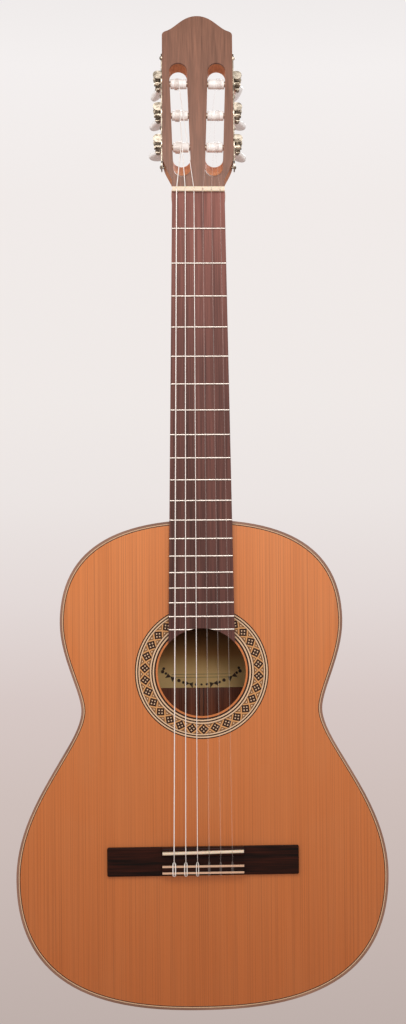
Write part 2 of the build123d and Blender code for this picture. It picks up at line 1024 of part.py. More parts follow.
def make_cog():
    """A brass worm wheel with straight teeth, centred on the origin with its axis along X."""
    points = []
    for tooth in range(cog_teeth):
        middle = 2 * math.pi * tooth / cog_teeth
        for radius, half in (
            (cog_root_radius, -0.66),
            (cog_tip_radius, -0.30),
            (cog_tip_radius, 0.30),
            (cog_root_radius, 0.66),
        ):
            turn = middle + half / radius
            points.append((radius * math.cos(turn), radius * math.sin(turn)))
    face = make_face(Polyline(*points, close=True))
    side = Plane(origin=(-cog_thickness / 2, 0, 0), x_dir=(0, 1, 0), z_dir=(1, 0, 0))
    return side * extrude(face, cog_thickness, dir=(0, 0, 1))


def make_gear(reach):
    """The wheel, its shaft through the head and the screw that holds it on."""
    centre = Pos(0, reach, -roller_axis_depth)
    wheel = centre * Pos(cog_middle(), 0, 0) * make_cog()
    outer = cog_middle() + cog_thickness / 2
    inner = journal_inner(reach)
    shaft = Rot(0, 90, 0) * Cylinder(journal_radius, outer - 0.5 - inner)
    shaft = centre * Pos((outer - 0.5 + inner) / 2, 0, 0) * shaft
    screw = Rot(0, 90, 0) * Cylinder(cog_screw_radius, cog_screw_height)
    screw = centre * Pos(outer + cog_screw_height / 2, 0, 0) * screw
    slot = centre * Pos(outer + cog_screw_height, 0, 0) * Box(1.0, 6.0, 0.6)
    return head_flat * Compound(children=[wheel + shaft, screw - slot])


def make_roller(reach, diameter):
    """The sleeve that the string winds on, and the string's own turns round it."""
    length = 2 * (slot_half_width - roller_end_gap)
    centre = Pos(slot_centre(reach), reach, -roller_axis_depth) * Rot(0, 90, 0)
    sleeve = Cylinder(roller_radius, length)
    sleeve = fillet(sleeve.edges().filter_by(GeomType.CIRCLE), 0.5)
    sleeve -= Cylinder(journal_radius, length + 2)
    parts = [centre * sleeve]
    for turn in range(winding_turns):
        along = diameter + winding_gap + diameter * 1.02 * turn
        ring_shape = Torus(roller_radius + diameter / 2, diameter / 2)
        parts.append(centre * Pos(0, 0, along) * ring_shape)
    return head_flat * Compound(children=parts)


def worm_place(reach):
    return Pos(cog_middle(), reach + worm_offset, -roller_axis_depth)


def worm_half_length():
    return worm_turns * worm_pitch / 2 + 0.7


def make_worm(reach):
    """The worm with its two journals and the shaft that carries the button."""
    core_half = worm_half_length()
    core = Cylinder(worm_root_radius, 2 * core_half)
    path = Helix(worm_pitch, worm_turns * worm_pitch, worm_root_radius)
    profile_plane = Plane(origin=path @ 0, x_dir=(1, 0, 0), z_dir=path % 0)
    height = worm_tip_radius - worm_root_radius
    profile = make_face(
        Polyline((-0.3, -0.58), (height, -0.28), (height, 0.28), (-0.3, 0.58), close=True)
    )
    thread = sweep(profile_plane * profile, path=path, is_frenet=True)
    thread = Rot(0, 0, -90) * Pos(0, 0, -worm_turns * worm_pitch / 2) * thread
    front_end = core_half + ear_gap + ear_thickness + 0.6
    back_end = button_start + button_socket
    journal = Cylinder(
        worm_journal_radius, front_end + back_end, align=(Align.CENTER, Align.CENTER, Align.MIN)
    )
    journal = Pos(0, 0, -back_end) * journal
    collar_back = core_half + 2 * ear_gap + ear_thickness
    collar = Cylinder(worm_collar_radius, 1.6, align=(Align.CENTER, Align.CENTER, Align.MAX))
    body = core + thread + journal + Pos(0, 0, -collar_back) * collar
    return head_flat * worm_place(reach) * body


def make_button(reach, turn):
    """A flattened oval paddle pressed on the end of the worm's shaft."""
    face = Ellipse(button_half_width, button_length / 2)
    paddle = extrude(face, button_half_thickness, dir=(0, 0, 1), both=True)
    paddle = fillet(paddle.edges(), button_half_thickness * 0.8)
    paddle = Rot(90, 0, 0) * paddle
    shank = Cylinder(2.6, 4.0)
    shank = Pos(0, 0, button_length / 2 - 0.8) * shank
    paddle += shank
    paddle = Pos(0, 0, -button_start - button_length / 2) * paddle
    paddle -= Pos(0, 0, -button_start - button_socket) * Cylinder(
        worm_journal_radius, 20, align=(Align.CENTER, Align.CENTER, Align.MIN)
    )
    return head_flat * worm_place(reach) * Rot(0, 0, turn) * paddle


def plate_outline():
    """A long bar with a round lobe at each wheel and a pointed end at each tip."""
    height = plate_high - plate_low - 12
    shape = Pos((plate_low + plate_high) / 2, 0) * Rectangle(height, 2 * plate_half_width - 3)
    for reach in roller_centres:
        shape += Pos(reach + worm_offset / 2, 0) * Ellipse(plate_lobe_radius, plate_half_width)
    for end in (plate_low + 6, plate_high - 6):
        shape += Pos(end, 0) * Circle(6.0)
    return shape


def make_plate():
    """The side plate with its bearing bosses and the ears that hold the worms."""
    side = Plane(
        origin=(head_half_width, 0, -roller_axis_depth), x_dir=(0, 1, 0), z_dir=(1, 0, 0)
    )
    plate = side * extrude(plate_outline(), plate_thickness, dir=(0, 0, 1))
    ear_start = worm_half_length() + ear_gap
    for reach in roller_centres:
        boss_height = plate_thickness + cog_gap - cog_boss_gap
        boss = Rot(0, 90, 0) * Cylinder(plate_boss_radius, boss_height)
        boss = Pos(head_half_width + boss_height / 2, reach, -roller_axis_depth) * boss
        plate += boss
        for direction in (-1, 1):
            lug = Circle(ear_radius)
            length = cog_middle() - head_half_width
            lug += Pos(-length / 2, 0) * Rectangle(length, 2 * ear_radius)
            lug = extrude(lug, ear_thickness / 2, dir=(0, 0, 1), both=True)
            middle = direction * (ear_start + ear_thickness / 2)
            lug = worm_place(reach) * Pos(0, 0, middle) * lug
            plate += lug
        plate -= Pos(head_half_width, reach, -roller_axis_depth) * (
            Rot(0, 90, 0) * Cylinder(journal_radius + journal_clearance, 10)
        )
        plate -= worm_place(reach) * Cylinder(worm_journal_radius + journal_clearance, 30)
    for reach in plate_screw_places():
        plate -= Pos(head_half_width, reach, -roller_axis_depth) * (
            Rot(0, 90, 0) * Cylinder(plate_screw_radius, 10)
        )
    return head_flat * plate


def make_plate_screws():
    """Small round-headed wood screws, all alike."""
    screws = []
    for side in (-1, 1):
        for reach in plate_screw_places():
            face = head_half_width + plate_thickness
            shank = Rot(0, 90, 0) * Cylinder(plate_screw_radius, plate_screw_length)
            shank = Pos(side * (face - plate_screw_length / 2), reach, -roller_axis_depth) * shank
            ball = Sphere(plate_screw_head_radius) & Pos(2.5, 0, 0) * Box(5, 9, 9)
            ball = Pos(face, reach, -roller_axis_depth) * (Pos(-0.8, 0, 0) * ball)
            ball -= Pos(face - 5, reach, -roller_axis_depth) * Box(10, 9, 9)
            if side < 0:
                ball = ball.mirror(Plane.YZ)
            screws.append(head_flat * (shank + ball))
    return solids(Compound(children=screws))


def on_side(shape, side):
    """A piece drawn on the +X side, or its mirror image for the bass side."""
    if side > 0:
        return shape
    return Compound(children=[solid.mirror(Plane.YZ) for solid in shape.solids()])


# ---- write every piece ----
def write_body():
    save(make_soundboard(), "soundboard")
    save(make_rosette(), "rosette")
    save(make_purfling(), "purfling_top")
    save(make_binding_top(), "binding_top")
    save(make_binding_back(), "binding_back")
    bass, treble = make_sides()
    save(bass, "side_bass")
    save(treble, "side_treble")
    save(make_back(), "back_plate")
    save(make_back_strip(), "back_centre_strip")
    save(make_linings(), "linings")
    save(make_end_block(), "end_block")
    save(make_neck_block(), "neck_block")
    save(make_fan_braces(), "fan_braces")
    save(make_harmonic_bars(), "harmonic_bars")
    save(make_back_bars(), "back_bars")
    save(bridge_patch_space(), "bridge_patch")
    save(make_label(), "soundhole_label")


def write_neck():
    save(make_neck(), "neck")
    save(make_heel_cap(), "heel_cap")
    save(make_headstock(), "headstock")
    save(make_head_veneer(), "head_veneer")
    save(make_fingerboard(), "fingerboard")
    save(make_frets(), "frets")


def write_strings():
    grooves = [string_tube(index, string_groove_clearance) for index in range(6)]
    save(make_nut(grooves), "nut")
    saddle = make_saddle()
    for groove in grooves:
        saddle -= groove
    save(saddle, "saddle")
    save(make_bridge(), "bridge")
    save(make_tie_strips(), "tie_block_strips")
    for index in range(6):
        save(string_tube(index, 0), f"string_{6 - index}")


def write_tuners():
    plate = make_plate()
    save(on_side(plate, -1), "tuner_plate_bass")
    save(plate, "tuner_plate_treble")
    save(make_plate_screws(), "tuner_plate_screws")
    for index in range(6):
        side = string_side(index)
        reach = string_roller(index)
        number = 6 - index
        turn = button_turns[index] if side > 0 else 180 - button_turns[index]
        save(on_side(make_gear(reach), side), f"tuner_gear_{number}")
        save(on_side(make_roller(reach, string_diameters[index]), side), f"string_roller_{number}")
        save(on_side(make_worm(reach), side), f"tuner_worm_{number}")
        save(on_side(make_button(reach, turn), side), f"tuner_button_{number}")


write_body()
write_neck()
write_strings()
write_tuners()
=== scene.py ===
import json
import math

import bmesh
import bpy
from mathutils import Matrix, Vector
from mathutils.bvhtree import BVHTree


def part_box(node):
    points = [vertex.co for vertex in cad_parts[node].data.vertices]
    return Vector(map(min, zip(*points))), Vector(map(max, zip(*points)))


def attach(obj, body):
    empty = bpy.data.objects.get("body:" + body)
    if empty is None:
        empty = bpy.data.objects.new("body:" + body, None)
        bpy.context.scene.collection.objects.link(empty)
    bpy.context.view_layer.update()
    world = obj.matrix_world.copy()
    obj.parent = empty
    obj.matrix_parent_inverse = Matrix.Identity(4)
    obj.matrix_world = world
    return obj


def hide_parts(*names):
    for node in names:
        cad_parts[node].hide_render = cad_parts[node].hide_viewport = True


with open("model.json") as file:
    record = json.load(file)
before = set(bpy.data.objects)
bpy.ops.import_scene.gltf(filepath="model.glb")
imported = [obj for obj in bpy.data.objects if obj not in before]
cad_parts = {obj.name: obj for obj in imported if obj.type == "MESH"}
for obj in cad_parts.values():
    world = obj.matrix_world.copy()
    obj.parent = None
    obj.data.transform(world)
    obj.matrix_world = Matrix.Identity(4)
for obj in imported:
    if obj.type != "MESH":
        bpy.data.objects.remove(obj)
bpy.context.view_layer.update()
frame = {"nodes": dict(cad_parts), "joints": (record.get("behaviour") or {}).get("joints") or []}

# ---- camera ----
# The eye stands two metres in front of the guitar's centre line, at the height of the neck
# joint, with the lens shifted a little sideways, so it sees neither side of the body.
eye = Vector((-0.010, -1.9184, -0.3293))
camera_data = bpy.data.cameras.new("camera")
camera_data.sensor_width = 36.0
camera_data.lens = 68.17
camera_data.shift_x = -0.0792
camera_data.shift_y = 0.0006
camera_data.clip_start = 0.05
camera_data.clip_end = 200.0
camera = bpy.data.objects.new("camera", camera_data)
bpy.context.collection.objects.link(camera)
heading = Matrix.Rotation(math.radians(-2.761), 4, "Z")
pitch = Matrix.Rotation(math.radians(90.332), 4, "X")
roll = Matrix.Rotation(math.radians(-0.440), 4, "Z")
camera.matrix_world = Matrix.Translation(eye) @ heading @ pitch @ roll
bpy.context.scene.camera = camera


# ---- studio ----
# A pale seamless room: a wide round floor under the guitar, the backdrop itself, and
# large soft lamps above the viewer and behind the guitar.
class Finish:
    """One material in the making: its shader and the nodes that colour it."""

    def __init__(self, name, roughness=0.5, **settings):
        self.material = bpy.data.materials.new(name)
        self.material.use_nodes = True
        self.nodes = self.material.node_tree.nodes
        self.links = self.material.node_tree.links
        self.shader = self.nodes["Principled BSDF"]
        self.shader.inputs["Roughness"].default_value = roughness
        for socket, value in settings.items():
            self.shader.inputs[socket.replace("_", " ")].default_value = value
        self.place = self.nodes.new("ShaderNodeTexCoord").outputs["Object"]

    def join(self, value, socket):
        if isinstance(value, bpy.types.NodeSocket):
            self.links.new(value, socket)
        elif value is not None:
            socket.default_value = value

    def sums(self, operation, first, second=None, third=None):
        node = self.nodes.new("ShaderNodeMath")
        node.operation = operation
        self.join(first, node.inputs[0])
        self.join(second, node.inputs[1])
        self.join(third, node.inputs[2])
        return node.outputs[0]

    def along(self):
        """The three coordinates of the point being coloured, in metres."""
        node = self.nodes.new("ShaderNodeSeparateXYZ")
        self.links.new(self.place, node.inputs[0])
        return node.outputs

    def point(self, x, y, z):
        node = self.nodes.new("ShaderNodeCombineXYZ")
        for value, socket in zip((x, y, z), node.inputs):
            self.join(value, socket)
        return node.outputs[0]

    def stretched(self, scale, start=None):
        """The place, scaled differently along each axis, so a pattern becomes grain."""
        node = self.nodes.new("ShaderNodeMapping")
        self.links.new(start or self.place, node.inputs["Vector"])
        node.inputs["Scale"].default_value = scale
        return node.outputs[0]

    def cloud(self, place, detail=3.0, distortion=0.0):
        node = self.nodes.new("ShaderNodeTexNoise")
        self.links.new(place, node.inputs["Vector"])
        node.inputs["Scale"].default_value = 1.0
        node.inputs["Detail"].default_value = detail
        node.inputs["Distortion"].default_value = distortion
        return node.outputs["Fac"]

    def scale_of(self, value, *stops):
        """Turns a number into a colour or shade through (position, colour) stops."""
        node = self.nodes.new("ShaderNodeValToRGB")
        self.join(value, node.inputs[0])
        bar = node.color_ramp
        while len(bar.elements) < len(stops):
            bar.elements.new(1.0)
        for element, (position, colour) in zip(bar.elements, stops):
            element.position = position
            shades = colour if isinstance(colour, tuple) else (colour,) * 3
            element.color = (*shades, 1.0)
        return node.outputs["Color"]

    def blend(self, share, first, second, way="MIX"):
        node = self.nodes.new("ShaderNodeMix")
        node.data_type = "RGBA"
        node.blend_type = way
        self.join(share, node.inputs[0])
        for value, socket in ((first, node.inputs[6]), (second, node.inputs[7])):
            self.join((*value, 1.0) if isinstance(value, tuple) else value, socket)
        return node.outputs[2]

    def colour(self, value):
        self.join(
            (*value, 1.0) if isinstance(value, tuple) else value,
            self.shader.inputs["Base Color"],
        )

    def gloss(self, value, low, high):
        """Roughness that wanders between two values over the surface."""
        node = self.nodes.new("ShaderNodeMapRange")
        self.join(value, node.inputs[0])
        node.inputs[3].default_value = low
        node.inputs[4].default_value = high
        self.links.new(node.outputs[0], self.shader.inputs["Roughness"])

    def relief(self, height, depth, strength=1.0):
        node = self.nodes.new("ShaderNodeBump")
        node.inputs["Strength"].default_value = strength
        node.inputs["Distance"].default_value = depth
        self.join(height, node.inputs["Height"])
        self.links.new(node.outputs[0], self.shader.inputs["Normal"])


def new_piece(name, mesh, finish):
    piece = bpy.data.objects.new(name, mesh)
    bpy.context.collection.objects.link(piece)
    mesh.materials.append(finish.material)
    return piece


lowest_shown = -0.40
backdrop_stops = (
    (-0.40, (0.42, 0.35, 0.33)),
    (-0.245, (0.52, 0.435, 0.407)),
    (-0.140, (0.623, 0.525, 0.495)),
    (-0.090, (0.680, 0.582, 0.560)),
    (-0.039, (0.770, 0.696, 0.681)),
    (0.013, (0.838, 0.785, 0.768)),
    (0.064, (0.868, 0.820, 0.800)),
    (0.165, (0.880, 0.832, 0.815)),
    (0.230, (0.905, 0.870, 0.862)),
    (0.70, (0.36, 0.36, 0.37)),
)
studio = bpy.data.worlds.new("studio")
bpy.context.scene.world = studio
studio.use_nodes = True
sky_nodes = studio.node_tree.nodes
sky_links = studio.node_tree.links
direction = sky_nodes.new("ShaderNodeTexCoord").outputs["Generated"]
height_in_sky = sky_nodes.new("ShaderNodeSeparateXYZ")
sky_links.new(direction, height_in_sky.inputs[0])
sky_share = sky_nodes.new("ShaderNodeMapRange")
sky_share.inputs["From Min"].default_value = lowest_shown
sky_links.new(height_in_sky.outputs["Z"], sky_share.inputs["Value"])
sky_shade = sky_nodes.new("ShaderNodeValToRGB")
sky_links.new(sky_share.outputs[0], sky_shade.inputs[0])
while len(sky_shade.color_ramp.elements) < len(backdrop_stops):
    sky_shade.color_ramp.elements.new(1.0)
for element, (height, colour) in zip(sky_shade.color_ramp.elements, backdrop_stops):
    element.position = (height - lowest_shown) / (1.0 - lowest_shown)
    element.color = (*colour, 1.0)
sky_links.new(sky_shade.outputs[0], sky_nodes["Background"].inputs["Color"])
sky_nodes["Background"].inputs["Strength"].default_value = 1.0
bpy.context.scene.view_settings.view_transform = "Standard"

floor_height = -1.40
floor_radius = 2.1
floor_finish = Finish("studio_floor", roughness=0.9)
dust = floor_finish.cloud(floor_finish.stretched((1.5, 1.5, 1.5)), 3.0)
floor_finish.colour(floor_finish.blend(dust, (0.52, 0.445, 0.42), (0.58, 0.50, 0.475)))
floor_shape = bmesh.new()
bmesh.ops.create_circle(
    floor_shape,
    cap_ends=True,
    segments=96,
    radius=floor_radius,
    matrix=Matrix.Translation((0, 0, floor_height)),
)
floor_mesh = bpy.data.meshes.new("floor")
floor_shape.to_mesh(floor_mesh)
floor_shape.free()
floor = new_piece("floor", floor_mesh, floor_finish)


def add_lamp(name, place, aim, width, height, watts, tint=(1.0, 1.0, 1.0)):
    lamp_data = bpy.data.lights.new(name, "AREA")
    lamp_data.shape = "RECTANGLE"
    lamp_data.size = width
    lamp_data.size_y = height
    lamp_data.energy = watts
    lamp_data.color = tint
    lamp = bpy.data.objects.new(name, lamp_data)
    bpy.context.collection.objects.link(lamp)
    lamp.location = place
    lamp.rotation_euler = (Vector(aim) - Vector(place)).to_track_quat("-Z", "Y").to_euler()
    lamp.visible_camera = False


add_lamp("key_lamp", (-0.25, -1.15, 0.62), (0.0, 0.0, -0.35), 1.0, 0.7, 11.5)
add_lamp("front_lamp", (0.40, -2.4, 0.20), (0.0, 0.0, -0.4), 0.6, 0.5, 11.0)
add_lamp("back_lamp", (0.6, 2.4, 1.2), (0.0, 0.0, -0.3), 1.6, 1.2, 30.0)


# ---- soundboard ----
# Two book-matched halves of red cedar, quarter-sawn so that the grain stands in fine even
# lines, glued at the centre, planed to two and a half millimetres and varnished.
def hang(node_name, finish):
    """Gives one carried-over part its finish."""
    node = frame["nodes"][node_name]
    for slot in node.material_slots:
        slot.material = finish.material


def plain_grain(finish, light, dark, lines, length, wander=0.35, middle=None):
    """Wood of one colour with fine lines along Z, matched about the middle if asked."""
    x, y, z = finish.along()
    across = finish.sums("ABSOLUTE", x) if middle else x
    place = finish.point(across, y, z)
    fine = finish.cloud(finish.stretched((lines, lines * 0.4, length), place), 2.0, wander)
    broad = finish.cloud(
        finish.stretched((lines * 0.12, lines * 0.1, length * 0.4), place),
        2.0,
        0.5,
    )
    grain = finish.sums(
        "ADD",
        finish.sums("MULTIPLY", fine, 0.6),
        finish.sums("MULTIPLY", broad, 0.4),
    )
    finish.colour(finish.scale_of(grain, (0.36, dark), (0.62, light)))
    return grain


cedar = Finish(
    "red_cedar_top",
    roughness=0.36,
    Coat_Weight=0.1,
    Coat_Roughness=0.15,
    Specular_IOR_Level=0.4,
)
x, y, z = cedar.along()
half_x = cedar.sums("ABSOLUTE", x)
board = cedar.point(half_x, 0.0, z)
growth = cedar.cloud(cedar.stretched((1150.0, 1.0, 3.5), board), 1.5, 0.15)
bands = cedar.cloud(cedar.stretched((95.0, 1.0, 1.6), board), 2.0, 0.3)
mottle = cedar.cloud(cedar.stretched((26.0, 1.0, 9.0), board), 3.0, 0.6)
rings = cedar.scale_of(growth, (0.34, 0.82), (0.52, 1.0), (0.7, 1.05))
tone = cedar.scale_of(bands, (0.30, (0.585, 0.170, 0.035)), (0.70, (0.615, 0.184, 0.040)))
tone = cedar.blend(cedar.scale_of(mottle, (0.45, 0.0), (0.75, 0.5)), tone, (0.60, 0.20, 0.055))
# Painted light: the soundboard is coloured lighter and bluer towards its top, standing in for the
# lamp's light and the haze of reflection there, and darker and redder towards the bottom, painted
# shade as the light falls off.
painted_light_falloff = cedar.scale_of(
    cedar.sums("MULTIPLY_ADD", z, -2.0, -0.66),
    (0.0, (1.06, 1.10, 1.18)),
    (1.0, (0.69, 0.59, 0.50)),
)
tone = cedar.blend(1.0, tone, painted_light_falloff, "MULTIPLY")
cedar.colour(cedar.blend(1.0, tone, rings, "MULTIPLY"))
cedar.gloss(bands, 0.30, 0.42)
cedar.relief(growth, 0.00002, 0.4)
hang("soundboard", cedar)

# ---- rosette ----
# A marquetry ring let into the soundboard: black and white lines each side of a band of
# thirty end-grain tiles, chequered lozenges between crosses of orange wood.
board_low, board_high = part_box("rosette")
hole_middle = (board_low + board_high) / 2
tiles = 30
tile_turn = 2 * math.pi / tiles
band_inner = 0.0521
band_outer = 0.0611
band_middle = (band_inner + band_outer) / 2
tile_length = band_middle * tile_turn
first_cross = math.radians(7.4)

inlay = Finish("rosette_marquetry", roughness=0.42, Specular_IOR_Level=0.15)
x, y, z = inlay.along()
right_of = inlay.sums("SUBTRACT", x, hole_middle.x)
below = inlay.sums("SUBTRACT", hole_middle.z, z)
out = inlay.sums(
    "SQRT",
    inlay.sums("ADD", inlay.sums("POWER", right_of, 2.0), inlay.sums("POWER", below, 2.0)),
)
turn = inlay.sums("ARCTAN2", right_of, below)
tile = inlay.sums(
    "FRACT",
    inlay.sums("DIVIDE", inlay.sums("SUBTRACT", turn, first_cross - 20 * math.pi), tile_turn),
)
from_lozenge = inlay.sums("MULTIPLY", inlay.sums("SUBTRACT", tile, 0.5), tile_length)
from_middle = inlay.sums("SUBTRACT", out, band_middle)
side = inlay.sums("ABSOLUTE", from_lozenge)
rise = inlay.sums("ABSOLUTE", from_middle)
lozenge = inlay.sums("ADD", side, rise)
slant_up = inlay.sums("ADD", from_lozenge, from_middle)
slant_down = inlay.sums("SUBTRACT", from_lozenge, from_middle)
cell_middle = 0.0020
cell_half = 0.00085
lozenge_half = 0.0052


def in_cell(slant):
    """One inside a light cell along one diagonal, nought on the dark lines between."""
    offset = inlay.sums("SUBTRACT", inlay.sums("ABSOLUTE", slant), cell_middle)
    return inlay.sums("LESS_THAN", inlay.sums("ABSOLUTE", offset), cell_half)


cells = inlay.sums("MULTIPLY", in_cell(slant_up), in_cell(slant_down))
in_lozenge = inlay.sums("LESS_THAN", lozenge, lozenge_half)
arm = inlay.sums("SUBTRACT", rise, inlay.sums("SUBTRACT", tile_length / 2, side))
in_triangle = inlay.sums("GREATER_THAN", arm, 0.0010)
in_core = inlay.sums("GREATER_THAN", arm, 0.0024)
in_core = inlay.sums("MULTIPLY", in_core, inlay.sums("LESS_THAN", rise, 0.0036))
grain = inlay.cloud(inlay.stretched((900.0, 900.0, 900.0)), 2.0)
cream = inlay.blend(grain, (0.62, 0.40, 0.23), (0.78, 0.54, 0.35))
orange = inlay.blend(grain, (0.54, 0.25, 0.09), (0.68, 0.35, 0.14))
dark = inlay.blend(grain, (0.022, 0.008, 0.004), (0.050, 0.020, 0.009))
brown = inlay.blend(grain, (0.16, 0.07, 0.025), (0.26, 0.12, 0.045))
mosaic = inlay.blend(in_triangle, orange, brown)
mosaic = inlay.blend(in_core, mosaic, cream)
mosaic = inlay.blend(in_lozenge, mosaic, inlay.blend(cells, dark, cream))
line_edges = (
    (0.0, dark),
    (0.0473, cream),
    (0.0487, dark),
    (0.0501, cream),
    (0.0515, dark),
    (0.0520, mosaic),
    (0.0612, dark),
    (0.0615, cream),
    (0.0627, dark),
    (0.0640, cream),
    (0.0653, dark),
)
ring_colour = dark
for start, wood in line_edges[1:]:
    ring_colour = inlay.blend(inlay.sums("GREATER_THAN", out, start), ring_colour, wood)
inlay.colour(ring_colour)
inlay.gloss(grain, 0.32, 0.44)
hang("rosette", inlay)

# ---- braces ----
# Fan struts, cross bars and the bridge's patch under the soundboard: split spruce, glued
# on and left bare.
spruce = Finish("brace_spruce", roughness=0.75)
plain_grain(spruce, (0.62, 0.45, 0.26), (0.48, 0.31, 0.15), 800.0, 8.0)
for part in ("fan_braces", "harmonic_bars", "bridge_patch", "back_bars"):
    hang(part, spruce)

# ---- sides, blocks and linings ----
# Two sides of dark red mahogany bent on a hot iron, a cedar block at each end, and
# kerfed linings that give the plates something to be glued to.
rim = Finish(
    "side_mahogany",
    roughness=0.32,
    Coat_Weight=0.15,
    Coat_Roughness=0.15,
    Specular_IOR_Level=0.3,
)
x, y, z = rim.along()
fine = rim.cloud(rim.stretched((10.0, 900.0, 10.0)), 2.0, 0.3)
broad = rim.cloud(rim.stretched((4.0, 110.0, 4.0)), 3.0, 1.2)
grain = rim.sums("ADD", rim.sums("MULTIPLY", fine, 0.5), rim.sums("MULTIPLY", broad, 0.5))
rim.colour(
    rim.scale_of(
        grain,
        (0.36, (0.055, 0.016, 0.009)),
        (0.5, (0.12, 0.036, 0.019)),
        (0.64, (0.20, 0.065, 0.033)),
    ),
)
rim.gloss(fine, 0.24, 0.36)
rim.relief(fine, 0.00002, 0.3)
hang("side_bass", rim)
hang("side_treble", rim)

block_wood = Finish("block_cedar", roughness=0.7)
plain_grain(block_wood, (0.42, 0.20, 0.09), (0.28, 0.12, 0.05), 500.0, 8.0)
hang("neck_block", block_wood)
hang("end_block", block_wood)

kerf_pitch = 0.0062
kerf_slant = 0.6
kerf_share = 0.14
lining_wood = Finish("kerfed_lining", roughness=0.75)
x, y, z = lining_wood.along()
kerf = lining_wood.sums(
    "FRACT",
    lining_wood.sums(
        "DIVIDE",
        lining_wood.sums("ADD", z, lining_wood.sums("MULTIPLY", x, kerf_slant)),
        kerf_pitch,
    ),
)
# The saw cuts are not cut into the mesh: each is painted as a dark line, painted shade standing in
# for the gap of the cut.
kerf_shade_line = lining_wood.sums("LESS_THAN", kerf, kerf_share)
lining_grain = lining_wood.cloud(lining_wood.stretched((300.0, 30.0, 300.0)), 2.0)
lining_tone = lining_wood.blend(lining_grain, (0.50, 0.31, 0.16), (0.62, 0.42, 0.24))
lining_wood.colour(lining_wood.blend(kerf_shade_line, lining_tone, (0.16, 0.08, 0.04)))
hang("linings", lining_wood)

# ---- back ----
# Two book-matched plates of dark red rosewood, slightly domed, with a narrow strip let
# in between them, and polished like the sides.
rosewood_back = Finish(
    "back_rosewood",
    roughness=0.32,
    Coat_Weight=0.15,
    Coat_Roughness=0.15,
    Specular_IOR_Level=0.25,
)
x, y, z = rosewood_back.along()
half_x = rosewood_back.sums("ABSOLUTE", x)
sheet = rosewood_back.point(half_x, 0.0, z)
fine = rosewood_back.cloud(rosewood_back.stretched((820.0, 1.0, 5.0), sheet), 2.0, 0.2)
figure = rosewood_back.cloud(rosewood_back.stretched((46.0, 1.0, 2.6), sheet), 3.0, 1.4)
grain = rosewood_back.sums(
    "ADD",
    rosewood_back.sums("MULTIPLY", fine, 0.45),
    rosewood_back.sums("MULTIPLY", figure, 0.55),
)
rosewood_back.colour(
    rosewood_back.scale_of(
        grain,
        (0.36, (0.110, 0.030, 0.015)),
        (0.48, (0.200, 0.056, 0.026)),
        (0.58, (0.290, 0.085, 0.040)),
        (0.68, (0.350, 0.115, 0.055)),
    )
)
rosewood_back.gloss(fine, 0.22, 0.34)
rosewood_back.relief(fine, 0.00002, 0.3)
hang("back_plate", rosewood_back)

strip_wood = Finish(
    "back_strip_inlay",
    roughness=0.32,
    Coat_Weight=0.15,
    Coat_Roughness=0.15,
    Specular_IOR_Level=0.25,
)
x, y, z = strip_wood.along()
off_centre = strip_wood.sums("ABSOLUTE", x)
edge_line = strip_wood.sums("GREATER_THAN", off_centre, 0.0016)
strip_grain = strip_wood.cloud(strip_wood.stretched((1500.0, 200.0, 18.0)), 2.0)
strip_tone = strip_wood.blend(strip_grain, (0.23, 0.075, 0.036), (0.32, 0.11, 0.052))
strip_wood.colour(strip_wood.blend(edge_line, strip_tone, (0.05, 0.02, 0.012)))
hang("back_centre_strip", strip_wood)

# ---- label ----
# A sheet of cream paper pasted inside the back, where it shows through the sound hole: a
# bow of printed leaves and dots over two thin rules, with no lettering.
label_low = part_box("soundhole_label")[0]
bow_radius = 0.066
bow_margin = 0.0032
bow_centre = label_low.z + bow_margin + bow_radius
paper = Finish("label_paper", roughness=0.85)
x, y, z = paper.along()
down = paper.sums("SUBTRACT", bow_centre, z)
reach = paper.sums(
    "SQRT",
    paper.sums("ADD", paper.sums("POWER", x, 2.0), paper.sums("POWER", down, 2.0)),
)
swing = paper.sums("MULTIPLY", paper.sums("ARCTAN2", x, down), bow_radius)
off_bow = paper.sums("SUBTRACT", reach, bow_radius)


def spot(along, off, size):
    """A round printed spot on each side of the bow's middle."""
    across = paper.sums("SUBTRACT", from_middle, along)
    away = paper.sums("SUBTRACT", off_bow, off)
    squares = paper.sums("ADD", paper.sums("POWER", across, 2.0), paper.sums("POWER", away, 2.0))
    return paper.sums("LESS_THAN", squares, size * size)


def leaves(along, size):
    """A pair of printed leaves, tip to tip, with a stalk between them."""
    across = paper.sums("ABSOLUTE", paper.sums("SUBTRACT", from_middle, along))
    away = paper.sums(
        "ABSOLUTE",
        paper.sums("SUBTRACT", off_bow, paper.sums("MULTIPLY", across, 0.25)),
    )
    leaf = paper.sums("LESS_THAN", away, paper.sums("MULTIPLY_ADD", across, 0.62, 0.0003))
    return paper.sums("MULTIPLY", leaf, paper.sums("LESS_THAN", across, size))


from_middle = paper.sums("ABSOLUTE", swing)
ink = spot(0.0, 0.0, 0.0012)
for along, off, size in (
    (0.0057, 0.0, 0.0013),
    (0.0190, 0.0004, 0.0014),
    (0.0240, 0.0, 0.0018),
    (0.0395, -0.0005, 0.0014),
    (0.0435, 0.0, 0.0018),
    (0.0445, -0.0032, 0.0015),
):
    ink = paper.sums("MAXIMUM", ink, spot(along, off, size))
for along in (0.0130, 0.0335):
    ink = paper.sums("MAXIMUM", ink, leaves(along, 0.0042))
rule_half_thickness = 0.0003
rule_half_length = 0.031
rule_darkness = 0.6
for rule_height in (0.0108, 0.0140):
    off_rule = paper.sums("ABSOLUTE", paper.sums("SUBTRACT", z, label_low.z + rule_height))
    rule = paper.sums("LESS_THAN", off_rule, rule_half_thickness)
    within = paper.sums("LESS_THAN", paper.sums("ABSOLUTE", x), rule_half_length)
    rule = paper.sums("MULTIPLY", rule, within)
    ink = paper.sums("MAXIMUM", ink, paper.sums("MULTIPLY", rule, rule_darkness))
